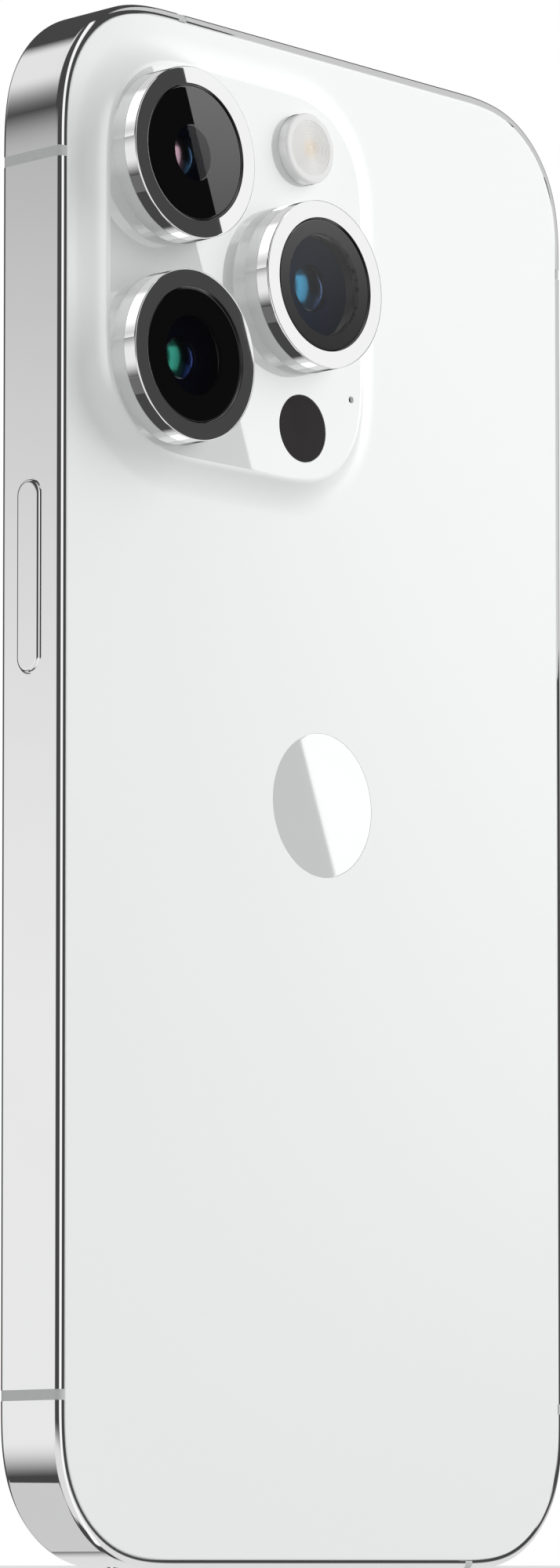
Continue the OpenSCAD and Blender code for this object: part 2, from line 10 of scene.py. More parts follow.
import bmesh
import bpy
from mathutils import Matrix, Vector

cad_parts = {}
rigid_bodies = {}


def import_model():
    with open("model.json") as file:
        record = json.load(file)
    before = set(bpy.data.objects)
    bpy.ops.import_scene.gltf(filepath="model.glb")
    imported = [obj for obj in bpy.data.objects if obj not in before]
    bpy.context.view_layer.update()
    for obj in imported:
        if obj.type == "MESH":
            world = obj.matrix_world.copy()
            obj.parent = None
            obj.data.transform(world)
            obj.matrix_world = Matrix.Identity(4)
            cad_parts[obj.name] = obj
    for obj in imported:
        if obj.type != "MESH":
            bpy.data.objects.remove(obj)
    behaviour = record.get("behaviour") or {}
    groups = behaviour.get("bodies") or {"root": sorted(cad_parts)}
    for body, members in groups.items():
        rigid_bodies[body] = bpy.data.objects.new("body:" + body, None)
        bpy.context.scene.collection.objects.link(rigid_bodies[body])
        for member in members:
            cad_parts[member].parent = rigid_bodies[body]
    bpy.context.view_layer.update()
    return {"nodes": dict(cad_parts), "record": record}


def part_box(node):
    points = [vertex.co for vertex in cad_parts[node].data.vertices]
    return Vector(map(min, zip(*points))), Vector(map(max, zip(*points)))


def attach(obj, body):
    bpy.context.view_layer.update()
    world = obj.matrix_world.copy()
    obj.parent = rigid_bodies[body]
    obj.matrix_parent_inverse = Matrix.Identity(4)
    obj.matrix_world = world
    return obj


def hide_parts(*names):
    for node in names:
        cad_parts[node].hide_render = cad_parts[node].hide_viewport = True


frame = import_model()

MM = 0.001
nodes = frame["nodes"]
record = frame["record"]

# Places and sizes that come from the frame
band_low, band_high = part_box("frame_band")
SIDE_X = band_high.x
BODY_H = band_high.z
BACK_Y = band_high.y
MIDDLE = (0, BODY_H / 2)
glass_low, glass_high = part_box("back_glass")
GLASS_INSET = SIDE_X - glass_high.x
SEAT_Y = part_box("mid_plate")[1].y
COLLAR_Y = glass_high.y
PLATEAU_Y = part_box("depth_window")[1].y
RING_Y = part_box("lens_ring_upper")[1].y
WALL = SIDE_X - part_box("mid_plate")[1].x
CAMERAS = ("upper", "lower", "middle")

# Shape of the body's edges and corners. A corner's bend rises over the first CORNER_RAMP of its
# length and falls over the last, so it reaches further along its sides than a plain radius does:
# CORNER_PER_RADIUS is how many times as far
EDGE_R = 0.65 * MM
CORNER = 15.8 * MM
CORNER_RAMP = 0.3
CORNER_PER_RADIUS = 1.27
LIP = GLASS_INSET - 0.06 * MM
GAP = 0.1 * MM
EDGE_STEPS = 14
GUARD = 0.08 * MM
CORNER_STEPS = 44

# The plateau: its foot's box, corner radius and the slope up to its flat top
PLATEAU_AT = (13.1 * MM, 123.35 * MM)
PLATEAU_SIZE = (41.6 * MM, 44.3 * MM)
PLATEAU_CORNER = 12.6 * MM * CORNER_PER_RADIUS
SLOPE_W = 3.6 * MM
CREST_R = 0.9 * MM

# Holes in the bottom edge
PORT_SIZE = (8.5 * MM, 2.9 * MM)
GRILLE_START = 11.6 * MM
GRILLE_STEP = 2.55 * MM
GRILLE_R = 0.75 * MM
SPEAKER_HOLES = 6
MICROPHONE_HOLES = 3
SCREW_X = 7.35 * MM
SCREW_R = 0.8 * MM
SCREW_DEPTH = 0.6 * MM

# Inwards from a lens ring's outer edge: to the side of its spigot, and to the hole for it
SPIGOT_INSET = 1.24 * MM
SPIGOT_HOLE_INSET = 1.14 * MM

# How far a cutter reaches past what it cuts
PAST = 1 * MM


def centre_of(node):
    """The middle of a CAD node's box."""
    low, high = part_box(node)
    return (low + high) / 2


def spot(node):
    """Where a round CAD node lies on the back, as (x, z)."""
    middle = centre_of(node)
    return (middle.x, middle.z)


def radius_of(node):
    """Radius of a round CAD node on the back."""
    low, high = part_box(node)
    return (high.x - low.x) / 2


# ---------------------------------------------------------------- outlines


def corner_path(steps):
    """A quarter turn of even, rising and falling curvature, from (0, -1) to (-1, 0), with its headings."""
    shares = [(i + 0.5) / steps for i in range(steps)]
    bends = [min(1, t / CORNER_RAMP, (1 - t) / CORNER_RAMP) for t in shares]
    turn = math.pi / 2 / sum(bends)
    heading, a, b = 0, 0, 0
    path = [(a, b, heading)]
    for bend in bends:
        middle = heading + bend * turn / 2
        a -= math.sin(middle)
        b += math.cos(middle)
        heading += bend * turn
        path.append((a, b, heading))
    return [(x / b, z / b - 1, angle) for x, z, angle in path]


def squircle(centre, width, height, corner, steps=CORNER_STEPS):
    """Outline of a rounded rectangle with smooth corners, as points and the angles of their normals."""
    path = []
    for k in range(4):
        turn = k * math.pi / 2
        reach = (width / 2, height / 2) if k % 2 == 0 else (height / 2, width / 2)
        for a, b, angle in corner_path(steps):
            x, z = reach[0] + a * corner, reach[1] + b * corner
            path.append(
                (
                    centre[0] + x * math.cos(turn) - z * math.sin(turn),
                    centre[1] + x * math.sin(turn) + z * math.cos(turn),
                    angle + turn,
                )
            )
    return path


def stadium(centre, length, width, steps=20):
    """Outline with half round ends, along the first axis."""
    path = []
    for side in (0, 1):
        end = (length - width) / 2 * (1 - 2 * side)
        for i in range(steps + 1):
            angle = math.pi * (side - 0.5 + i / steps)
            path.append(
                (
                    centre[0] + end + width / 2 * math.cos(angle),
                    centre[1] + width / 2 * math.sin(angle),
                    angle,
                )
            )
    return path


def circle(centre, radius, steps=96):
    """Round outline."""
    turns = [2 * math.pi * i / steps for i in range(steps)]
    return [
        (centre[0] + radius * math.cos(t), centre[1] + radius * math.sin(t), t) for t in turns
    ]


def fillet(inset, depth, radius, steps=EDGE_STEPS):
    """Layers that round an edge, from the side over to the face, with a guard on each of the two."""
    layers = [(inset, depth - radius - GUARD)]
    for i in range(steps + 1):
        t = math.pi / 2 * i / steps
        layers.append((inset + radius * (1 - math.cos(t)), depth - radius * (1 - math.sin(t))))
    layers.append((inset + radius + GUARD, depth))
    return layers


# ---------------------------------------------------------------- meshes


def on_back(a, b, depth):
    return (a, depth, b)


def on_right(a, b, depth):
    return (depth, b, a)


def on_left(a, b, depth):
    return (-depth, b, a)


def on_bottom(a, b, depth):
    return (a, b, depth)


def new_piece(name, verts, faces):
    """A mesh object with its normals facing out."""
    mesh = bpy.data.meshes.new(name)
    mesh.from_pydata(verts, [], faces)
    shape = bmesh.new()
    shape.from_mesh(mesh)
    bmesh.ops.remove_doubles(shape, verts=shape.verts, dist=1e-8)
    bmesh.ops.recalc_face_normals(shape, faces=shape.faces)
    shape.to_mesh(mesh)
    shape.free()
    piece = bpy.data.objects.new(name, mesh)
    bpy.context.scene.collection.objects.link(piece)
    return piece


def sweep(name, path, profile, place=on_back):
    """A closed profile of (out, depth) points carried around a closed outline."""
    verts = [
        place(x + out * math.cos(angle), z + out * math.sin(angle), depth)
        for x, z, angle in path
        for out, depth in profile
    ]
    rows, columns = len(path), len(profile)
    faces = [
        (
            i * columns + j,
            (i + 1) % rows * columns + j,
            (i + 1) % rows * columns + (j + 1) % columns,
            i * columns + (j + 1) % columns,
        )
        for i in range(rows)
        for j in range(columns)
    ]
    return new_piece(name, verts, faces)


def stack(name, path, layers, place=on_back):
    """A solid of layers (inset, depth) of one outline, closed by flat faces."""
    verts = [
        place(x - inset * math.cos(angle), z - inset * math.sin(angle), depth)
        for inset, depth in layers
        for x, z, angle in path
    ]
    count = len(path)
    faces = [
        (k * count + i, k * count + (i + 1) % count, (k + 1) * count + (i + 1) % count, (k + 1) * count + i)
        for k in range(len(layers) - 1)
        for i in range(count)
    ]
    faces.append(tuple(range(count)))
    faces.append(tuple(range((len(layers) - 1) * count, len(layers) * count)))
    return new_piece(name, verts, faces)


def lathe(name, centre, profile, steps=128):
    """A closed profile of (radius, y) points turned about a camera's axis; a radius of 0 is a pole."""
    verts, rows = [], []
    for radius, y in profile:
        if radius == 0:
            rows.append([len(verts)] * steps)
            verts.append((centre[0], y, centre[1]))
            continue
        rows.append(list(range(len(verts), len(verts) + steps)))
        for i in range(steps):
            turn = 2 * math.pi * i / steps
            verts.append(
                (centre[0] + radius * math.cos(turn), y, centre[1] + radius * math.sin(turn))
            )
    faces = []
    for j, row in enumerate(rows):
        after = rows[(j + 1) % len(rows)]
        for i in range(steps):
            k = (i + 1) % steps
            corners = [row[i], row[k], after[k], after[i]]
            kept = [v for n, v in enumerate(corners) if v not in corners[:n]]
            if len(kept) > 2:
                faces.append(tuple(kept))
    return new_piece(name, verts, faces)


def carve(piece, tools, operation="DIFFERENCE"):
    """Cuts tools out of a piece, or adds them to it, and removes them."""
    for tool in tools:
        modifier = piece.modifiers.new(operation, "BOOLEAN")
        modifier.operation = operation
        modifier.solver = "EXACT"
        modifier.object = tool
    bpy.context.view_layer.update()
    evaluated = piece.evaluated_get(bpy.context.evaluated_depsgraph_get())
    mesh = bpy.data.meshes.new_from_object(evaluated)
    piece.modifiers.clear()
    piece.data = mesh
    for tool in tools:
        bpy.data.objects.remove(tool)
    return piece


def smooth(piece, angle=28):
    """Smooth shading that keeps edges sharper than angle, with flat faces kept flat."""
    piece.data.polygons.foreach_set("use_smooth", [True] * len(piece.data.polygons))
    piece.data.set_sharp_from_angle(angle=math.radians(angle))
    modifier = piece.modifiers.new("normals", "WEIGHTED_NORMAL")
    modifier.keep_sharp = True
    return piece


def finish_piece(piece, materials, body, slot, *stands_for, angle=28):
    """Gives a piece its shading, materials and body, and hides the CAD nodes it replaces. The slot is not
    used.
    """
    smooth(piece, angle)
    piece.data.materials.clear()
    for material in materials:
        piece.data.materials.append(material)
    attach(piece, body)
    if stands_for:
        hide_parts(*stands_for)
    return piece


# ---------------------------------------------------------------- materials


def connect(tree, source, target):
    tree.links.new(source, target)


def noise(tree, size, detail=2.0):
    """Noise over the piece's own coordinates, with features of about that size."""
    place = tree.nodes.new("ShaderNodeTexCoord")
    texture = tree.nodes.new("ShaderNodeTexNoise")
    texture.inputs["Scale"].default_value = 1 / size
    texture.inputs["Detail"].default_value = detail
    connect(tree, place.outputs["Object"], texture.inputs["Vector"])
    return texture.outputs["Fac"]


def spread(tree, value, low, high):
    """Maps noise, which lies mostly between 0.3 and 0.7, to a range."""
    ranged = tree.nodes.new("ShaderNodeMapRange")
    ranged.inputs["From Min"].default_value = 0.3
    ranged.inputs["From Max"].default_value = 0.7
    ranged.inputs["To Min"].default_value = low
    ranged.inputs["To Max"].default_value = high
    connect(tree, value, ranged.inputs["Value"])
    return ranged.outputs["Result"]


def blend_colours(tree, share, dark, light):
    """Mixes two colours by a share."""
    mixed = tree.nodes.new("ShaderNodeMix")
    mixed.data_type = "RGBA"
    mixed.inputs[6].default_value = (*dark, 1)
    mixed.inputs[7].default_value = (*light, 1)
    connect(tree, share, mixed.inputs[0])
    return mixed.outputs[2]


def material(
    name, colour, metallic=0, roughness=0.5, mottle=0.06, uneven=0.15, patch=2 * MM,
    grain=0, grain_size=0.05 * MM, **constants,
):
    """A Principled material with mottled colour, uneven roughness and, with grain, a fine bump."""
    made = bpy.data.materials.new(name)
    made.use_nodes = True
    tree = made.node_tree
    shader = tree.nodes["Principled BSDF"]
    patches = noise(tree, patch)
    even = spread(tree, patches, 0, 1)
    darker = [c * (1 - mottle) for c in colour]
    connect(tree, blend_colours(tree, even, darker, colour), shader.inputs["Base Color"])
    rough = spread(tree, patches, roughness * (1 - uneven), roughness * (1 + uneven))
    connect(tree, rough, shader.inputs["Roughness"])
    shader.inputs["Metallic"].default_value = metallic
    for socket, value in constants.items():
        shader.inputs[socket.replace("_", " ")].default_value = value
    if grain:
        bump = tree.nodes.new("ShaderNodeBump")
        bump.inputs["Strength"].default_value = grain
        bump.inputs["Distance"].default_value = grain_size
        connect(tree, noise(tree, grain_size, 4), bump.inputs["Height"])
        connect(tree, bump.outputs["Normal"], shader.inputs["Normal"])
    return made


def radial_colours(made, centre, radius, stops):
    """Colours a material by the distance from an axis across the thickness."""
    tree = made.node_tree
    shader = tree.nodes["Principled BSDF"]
    place = tree.nodes.new("ShaderNodeTexCoord")
    shift = tree.nodes.new("ShaderNodeVectorMath")
    shift.operation = "SUBTRACT"
    shift.inputs[1].default_value = (centre[0], 0, centre[1])
    connect(tree, place.outputs["Object"], shift.inputs[0])
    flat = tree.nodes.new("ShaderNodeVectorMath")
    flat.operation = "MULTIPLY"
    flat.inputs[1].default_value = (1, 0, 1)
    connect(tree, shift.outputs[0], flat.inputs[0])
    length = tree.nodes.new("ShaderNodeVectorMath")
    length.operation = "LENGTH"
    connect(tree, flat.outputs[0], length.inputs[0])
    share = calc(tree, "DIVIDE", length.outputs["Value"], radius)
    ramp = ramp_of(tree, share, stops)
    connect(tree, ramp, shader.inputs["Base Color"])
    return made


def calc(tree, operation, *values):
    """One math node, on sockets or numbers."""
    node = tree.nodes.new("ShaderNodeMath")
    node.operation = operation
    for i, value in enumerate(values):
        if isinstance(value, (int, float)):
            node.inputs[i].default_value = value
        else:
            connect(tree, value, node.inputs[i])
    return node.outputs[0]


def ramp_of(tree, share, stops):
    """A colour ramp of (place, colour) stops."""
    ramp = tree.nodes.new("ShaderNodeValToRGB")
    elements = ramp.color_ramp.elements
    elements.remove(elements[1])
    for i, (place, colour) in enumerate(stops):
        element = elements[0] if i == 0 else elements.new(place)
        element.position = place
        element.color = (*colour, 1)
    connect(tree, share, ramp.inputs["Fac"])
    return ramp.outputs["Color"]


steel = material(
    "polished_steel", (0.95, 0.95, 0.96), 1, 0.018, mottle=0.015, patch=9 * MM
)
button_steel = material(
    "button_steel", (0.95, 0.95, 0.96), 1, 0.07, mottle=0.02, patch=6 * MM
)
frosted_glass = material(
    "frosted_glass", (0.90, 0.915, 0.912), 0, 0.32, mottle=0.003, uneven=0.02, patch=30 * MM,
)
gloss_glass = material(
    "gloss_glass", (0.80, 0.815, 0.812), 0, 0.02, mottle=0.003, patch=30 * MM, IOR=2.0,
)
emblem_metal = material(
    "emblem_metal", (0.70, 0.71, 0.71), 0, 0.02, mottle=0.02, patch=8 * MM, IOR=2.0,
)
break_plastic = material(
    "break_plastic", (0.60, 0.61, 0.61), 0, 0.32, mottle=0.04, patch=1 * MM, grain=0.1,
)
black_print = material(
    "black_print", (0.001, 0.001, 0.0011), 0, 0.01, mottle=0.1, patch=3 * MM, IOR=1.5,
)
# Painted shade: near black, laid on the lens rings' inner edge and bore wall, the recess where shade falls
painted_recess_shade = material("painted_recess_shade", (0.01, 0.01, 0.011), 0, 0.3, mottle=0.1, patch=1 * MM)
lens_clear = material(
    "lens_clear", (0.0, 0.0, 0.0), 0, 0.01, mottle=0, patch=3 * MM, IOR=1.5, Alpha=0.35,
)
depth_glass = material(
    "depth_glass", (0.040, 0.037, 0.038), 0, 0.08, mottle=0.1, patch=3 * MM, IOR=1.5,
)
screen_print = material(
    "screen_print", (0.003, 0.003, 0.0035), 0, 0.02, mottle=0.1, patch=5 * MM, IOR=1.52,
)
screen_area = material(
    "screen_area", (0.010, 0.010, 0.013), 0, 0.03, mottle=0.1, patch=5 * MM, IOR=1.52,
    grain=0.02, grain_size=0.06 * MM,
)

# The rest of the record's slots: colour, metallic, roughness, grain of the bump
SLOT_FINISHES = {
    "polished_steel": ((0.93, 0.93, 0.94), 1, 0.05, 0),
    "plain_steel": ((0.60, 0.61, 0.63), 1, 0.32, 0.15),
    "dense_metal": ((0.36, 0.36, 0.38), 1, 0.4, 0.2),
    "break_plastic": ((0.60, 0.61, 0.61), 0, 0.32, 0.1),
    "chassis_aluminium": ((0.62, 0.62, 0.65), 1, 0.38, 0.2),
    "white_glass": ((0.90, 0.92, 0.92), 0, 0.3, 0),
    "emblem_metal": ((0.82, 0.83, 0.84), 1, 0.05, 0),
    "cover_glass": ((0.02, 0.02, 0.03), 0, 0.05, 0),
    "black_coat": ((0.004, 0.004, 0.0045), 0, 0.25, 0),
    "barrel_black": ((0.015, 0.015, 0.018), 0, 0.4, 0.1),
    "flash_clear": ((0.9, 0.88, 0.84), 0, 0.3, 0),
    "circuit": ((0.03, 0.14, 0.07), 0, 0.35, 0.2),
    "flex_film": ((0.55, 0.30, 0.06), 0, 0.3, 0.1),
    "screen_glass": ((0.003, 0.003, 0.004), 0, 0.03, 0),
    "mesh_black": ((0.02, 0.02, 0.02), 0.6, 0.45, 0.6),
    "seal_rubber": ((0.02, 0.02, 0.02), 0, 0.7, 0.3),
    "module_black": ((0.02, 0.02, 0.022), 0, 0.45, 0.25),
    "battery_wrap": ((0.02, 0.02, 0.024), 0, 0.3, 0.1),
    "copper": ((0.80, 0.38, 0.18), 1, 0.25, 0.15),
    "contact_gold": ((0.90, 0.66, 0.26), 1, 0.2, 0.05),
}


def dress_cad_nodes():
    """Every CAD node gets the material of its slot."""
    made = {}
    for slot, (colour, metallic, roughness, grain) in SLOT_FINISHES.items():
        made[slot] = material(f"cad_{slot}", colour, metallic, roughness, grain=grain)
    for part in record["subparts"]:
        mesh = nodes[part["node"]].data
        mesh.materials.clear()
        mesh.materials.append(made[part["material_slot"]])
    nodes["antenna_breaks"].data.materials[0] = break_plastic


# ---------------------------------------------------------------- pieces


def body_outline(inset=0):
    """The body's outline, or one inside it."""
    path = squircle(MIDDLE, 2 * SIDE_X, BODY_H, CORNER)
    return [
        (x - inset * math.cos(angle), z - inset * math.sin(angle), angle) for x, z, angle in path
    ]


def half_profile(sign):
    """The band's section from the side, over its rounded edge and lip, to the inner face."""
    edge = [(-inset, sign * y) for inset, y in fillet(0, BACK_Y, EDGE_R)]
    return edge + [
        (-LIP, sign * BACK_Y),
        (-LIP, sign * SEAT_Y),
        (-WALL, sign * SEAT_Y),
    ]


def side_cutter(node, place, inside):
    """A cutter for a CAD node with round ends in the band's side, with a gap all round it."""
    low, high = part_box(node)
    middle = (low + high) / 2
    length = high.z - low.z + 2 * GAP
    width = high.y - low.y + 2 * GAP
    path = stadium((middle.z, middle.y), length, width)
    return stack("cutter", path, [(0, inside), (0, SIDE_X + PAST)], place)


def bottom_cutters():
    """Cutters for the port, the grilles and the two screws."""
    through = [(0, -PAST), (0, WALL + PAST)]
    tools = [stack("cutter", stadium((0, 0), *PORT_SIZE), through, on_bottom)]
    holes = [GRILLE_START + i * GRILLE_STEP for i in range(SPEAKER_HOLES)]
    holes += [-GRILLE_START - i * GRILLE_STEP for i in range(MICROPHONE_HOLES)]
    for x in holes:
        tools.append(stack("cutter", circle((x, 0), GRILLE_R, 32), through, on_bottom))
    for x in (-SCREW_X, SCREW_X):
        path = circle((x, 0), SCREW_R, 32)
        tools.append(stack("cutter", path, [(0, -PAST), (0, SCREW_DEPTH)], on_bottom))
    return tools


def break_cutters():
    """Boxes around the antenna breaks, one for each solid of the CAD node."""
    shape = bmesh.new()
    shape.from_mesh(nodes["antenna_breaks"].data)
    bmesh.ops.remove_doubles(shape, verts=shape.verts, dist=1e-7)
    left = set(shape.verts)
    tools = []
    while left:
        island, front = set(), [left.pop()]
        while front:
            vert = front.pop()
            island.add(vert)
            for edge in vert.link_edges:
                other = edge.other_vert(vert)
                if other in left:
                    left.remove(other)
                    front.append(other)
        low = [min(v.co[i] for v in island) for i in (0, 2)]
        high = [max(v.co[i] for v in island) for i in (0, 2)]
        upright = high[0] - low[0] < high[1] - low[1]
        # A little larger than the break in its narrow direction, and exact in its long one
        play = 0.02 * MM
        grow = (play, 0) if upright else (0, play)
        low = [low[i] - grow[i] for i in (0, 1)]
        high = [high[i] + grow[i] for i in (0, 1)]
        box = [(high[0], low[1], 0), (high[0], high[1], 0), (low[0], high[1], 0), (low[0], low[1], 0)]
        tools.append(stack("cutter", box, [(0, -BACK_Y - PAST), (0, BACK_Y + PAST)]))
    shape.free()
    return tools


def frame_band():
    """The polished band, with its pockets, holes and breaks."""
    back = half_profile(1)
    front = half_profile(-1)
    band = sweep("frame_band_polished", body_outline(), back + front[::-1])
    pocket = SIDE_X - 1.75 * MM
    through = SIDE_X - WALL - 1 * MM
    tools = [side_cutter("side_button", on_right, pocket)]
    tools += [side_cutter(f"volume_{way}_button", on_left, pocket) for way in ("up", "down")]
    tools += [side_cutter("sim_tray", on_left, through)]
    lever = (centre_of("mute_lever").z, 0)
    opening = squircle(lever, 5.8 * MM, 3 * MM, 0.9 * MM, 8)
    tools.append(stack("cutter", opening, [(0, through), (0, SIDE_X + PAST)], on_left))
    carve(band, tools + bottom_cutters() + break_cutters())
    return finish_piece(band, [steel], "chassis", "polished_steel", "frame_band")


def slope_layers():
    """The plateau's slope, as layers from its foot to its flat top: a wide arc and a tight one."""
    rise = PLATEAU_Y - BACK_Y
    arcs = (SLOPE_W**2 + rise**2) / (2 * rise)
    foot = arcs - CREST_R
    reach = math.asin(SLOPE_W / arcs)
    steps = 16
    layers = [(0, BACK_Y - 0.3 * MM)]
    for i in range(steps + 1):
        turn = reach * i / steps
        layers.append((foot * math.sin(turn), BACK_Y + foot * (1 - math.cos(turn))))
    for i in range(1, steps + 1):
        turn = reach * (1 - i / steps)
        layers.append(
            (SLOPE_W - CREST_R * math.sin(turn), PLATEAU_Y - CREST_R * (1 - math.cos(turn)))
        )
    layers.append((SLOPE_W + GUARD, PLATEAU_Y))
    return layers


def back_glass():
    """The back glass: a matte plate, the blended plateau and a collar under each ring."""
    outline = body_outline(GLASS_INSET)
    bevel = 0.14 * MM
    glass = stack("back_glass_shaped", outline, [(0, SEAT_Y), *fillet(0, BACK_Y, bevel, 4)])
    foot = squircle(PLATEAU_AT, *PLATEAU_SIZE, PLATEAU_CORNER, 36)
    carve(glass, [stack("plateau", foot, slope_layers())], "UNION")
    cutters = []
    for camera in CAMERAS:
        ring = f"lens_ring_{camera}"
        at, radius = spot(ring), radius_of(ring)
        root = PLATEAU_Y - 0.3 * MM
        profile = [(0, root), (radius, root), (radius, COLLAR_Y), (0, COLLAR_Y)]
        carve(glass, [lathe("collar", at, profile, 192)], "UNION")
        cutters.append((at, radius - SPIGOT_HOLE_INSET))
    play = 0.05 * MM
    cutters.append((spot("flash_lens"), radius_of("flash_lens") + play))
    cutters.append((spot("depth_window"), radius_of("depth_window") + play))
    cutters.append((spot("rear_microphone_mesh"), radius_of("rear_microphone_mesh")))
    through = [(0, SEAT_Y - PAST), (0, RING_Y)]
    tools = [stack("cutter", circle(at, radius), through) for at, radius in cutters]
    recess = [(0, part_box("emblem")[0].y), (0, RING_Y)]
    tools.append(stack("cutter", circle(spot("emblem"), radius_of("emblem")), recess))
    bracket_low, bracket_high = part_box("camera_bracket")
    pocket = (bracket_high.x - bracket_low.x + 0.2 * MM, bracket_high.z - bracket_low.z + 0.2 * MM)
    path = squircle(PLATEAU_AT, *pocket, 7.6 * MM, 16)
    tools.append(stack("cutter", path, [(0, SEAT_Y - PAST), (0, bracket_high.y + play)]))
    carve(glass, tools)
    finish_piece(glass, [frosted_glass, gloss_glass], "chassis", "white_glass", "back_glass")
    level = PLATEAU_Y - 0.002 * MM
    for face in glass.data.polygons:
        if all(glass.data.vertices[v].co.y > level for v in face.vertices):
            face.material_index = 1
    return glass


def emblem():
    """A plain mirror disc let into the back."""
    low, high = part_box("emblem")
    radius = radius_of("emblem") - 0.02 * MM
    bevel = 0.05 * MM
    rim = [(radius - inset, y) for inset, y in fillet(0, high.y, bevel, 4)]
    disc = lathe("emblem_disc", spot("emblem"), [(0, low.y), (radius, low.y), *rim, (0, high.y)])
    return finish_piece(disc, [emblem_metal], "chassis", "emblem_metal", "emblem")


# For each camera: radius of the clear opening in its cover glass, radius of its front element,
# the colour of the barrel's front, and the coating's tints on the element's two sides, painted there as
# glints
LENS_LOOKS = {
    "upper": (2.65 * MM, 1.75 * MM, (0.006, 0.010, 0.050), (0.26, 0.17, 0.21), (0.10, 0.30, 0.62)),
    "lower": (3.8 * MM, 1.95 * MM, (0.006, 0.006, 0.030), (0.016, 0.12, 0.09), (0.05, 0.13, 0.60)),
    "middle": (4.9 * MM, 2.2 * MM, (0.022, 0.045, 0.12), (0.025, 0.12, 0.20), (0.16, 0.32, 0.70)),
}


def paint_middle(piece, at, radius):
    """Gives the faces within a radius of an axis the piece's second material."""
    for face in piece.data.polygons:
        corners = [piece.data.vertices[v].co for v in face.vertices]
        if max(math.hypot(corner.x - at[0], corner.z - at[1]) for corner in corners) < radius:
            face.material_index = 1


def lens_ring(camera):
    """A metal ring with a crisp edge, outside and inside: the outer one polished, the inner one and the
    bore painted in shade.
    """
    node = f"lens_ring_{camera}"
    low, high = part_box(node)
    outer = radius_of(node)
    bore = radius_of(f"lens_cover_{camera}")
    edge, inner = 0.12 * MM, 0.05 * MM
    outside = [(outer - inset, y) for inset, y in fillet(0, high.y, edge, 6)]
    inside = [(bore + inset, y) for inset, y in fillet(0, high.y, inner, 6)]
    groove = [(outer - 0.06 * MM, COLLAR_Y), (outer, COLLAR_Y + 0.06 * MM)]
    spigot = outer - SPIGOT_INSET
    profile = [(bore, low.y), (spigot, low.y), (spigot, COLLAR_Y), *groove, *outside, *inside[::-1]]
    ring = lathe(f"{node}_polished", spot(node), profile, 192)
    finish_piece(ring, [steel, painted_recess_shade], "chassis", "polished_steel", node)
    # The inner edge and the bore wall get the painted shade
    paint_middle(ring, spot(node), bore + inner * 1.05)
    return ring


def lens_cover(camera):
    """The cover glass: black printed under its rim, and clear over the lens."""
    node = f"lens_cover_{camera}"
    low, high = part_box(node)
    outer = radius_of(node) - 0.05 * MM
    clear = LENS_LOOKS[camera][0]
    edge = 0.16 * MM
    rim = [(outer - inset, y) for inset, y in fillet(0, high.y, edge, 5)]
    profile = [(0, low.y), (clear, low.y), (outer, low.y), *rim, (clear, high.y), (0, high.y)]
    cover = lathe(f"{node}_shaped", spot(node), profile)
    finish_piece(cover, [black_print, lens_clear], "chassis", "cover_glass", node)
    paint_middle(cover, spot(node), clear * 1.001)
    return cover


def dome(rim, apex_y, tilt, steps=14):
    """Points (radius, y) of a cap from its apex to its rim, whose normal leans by tilt there."""
    curve = rim / math.sin(tilt)
    turns = [tilt * i / steps for i in range(steps + 1)]
    return [(curve * math.sin(t), apex_y - curve * (1 - math.cos(t))) for t in turns]


def coating_with_painted_glints(name, at, reach, left, right):
    """A lens coating tint with painted glints: bright at the element's two sides, fading to painted dark
    across its middle.
    """
    made = material(name, right, 1, 0.2, mottle=0.05, patch=1 * MM)
    tree = made.node_tree
    place = tree.nodes.new("ShaderNodeTexCoord")
    split = tree.nodes.new("ShaderNodeSeparateXYZ")
    connect(tree, place.outputs["Object"], split.inputs[0])
    offset = calc(tree, "SUBTRACT", split.outputs[0], at[0])
    share = calc(tree, "MULTIPLY_ADD", offset, 0.5 / reach, 0.5)
    # Painted glints: each side's tint fades to a painted dark band across the element's middle
    dark = [0.05 * (a + b) for a, b in zip(left, right)]
    dim_right = [0.5 * c for c in right]
    dim_left = [0.4 * c for c in left]
    stops = [(0.0, right), (0.3, dim_right), (0.52, dark), (0.68, dim_left), (1.0, left)]
    connect(tree, ramp_of(tree, share, stops), tree.nodes["Principled BSDF"].inputs["Base Color"])
    return made


def lens_barrel(camera):
    """A barrel with a stepped baffle and its coated front element, with painted glints, which it returns.
    """
    node = f"lens_barrel_{camera}"
    at = spot(node)
    low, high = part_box(node)
    radius = radius_of(node)
    _, front, navy, left, right = LENS_LOOKS[camera]
    steps = [(front + 0.15 * MM, high.y - 0.15 * MM)]
    for _ in range(3):
        steps.append((steps[-1][0] + 0.35 * MM, steps[-1][1]))
        steps.append((steps[-1][0], steps[-1][1] + 0.05 * MM))
    profile = [
        (0, low.y), (radius, low.y), (radius, high.y - 0.1 * MM), (radius - 0.1 * MM, high.y),
        *steps[::-1], (front + 0.15 * MM, high.y - 0.5 * MM), (0, high.y - 0.5 * MM),
    ]
    barrel = lathe(f"{node}_stepped", at, profile)
    body = node
    baffle = material(f"baffle_{camera}", navy, 0, 0.6, mottle=0, patch=1 * MM, Specular_IOR_Level=0)
    finish_piece(barrel, [baffle], body, "barrel_black", node)
    cap = dome(front, high.y + 0.55 * MM, math.radians(36))
    seat = high.y - 0.45 * MM
    element = lathe(f"front_element_{camera}", at, [*cap, (front, seat), (0, seat)])
    made = coating_with_painted_glints(f"coating_{camera}", at, front, left, right)
    return finish_piece(element, [made], body, "cover_glass")


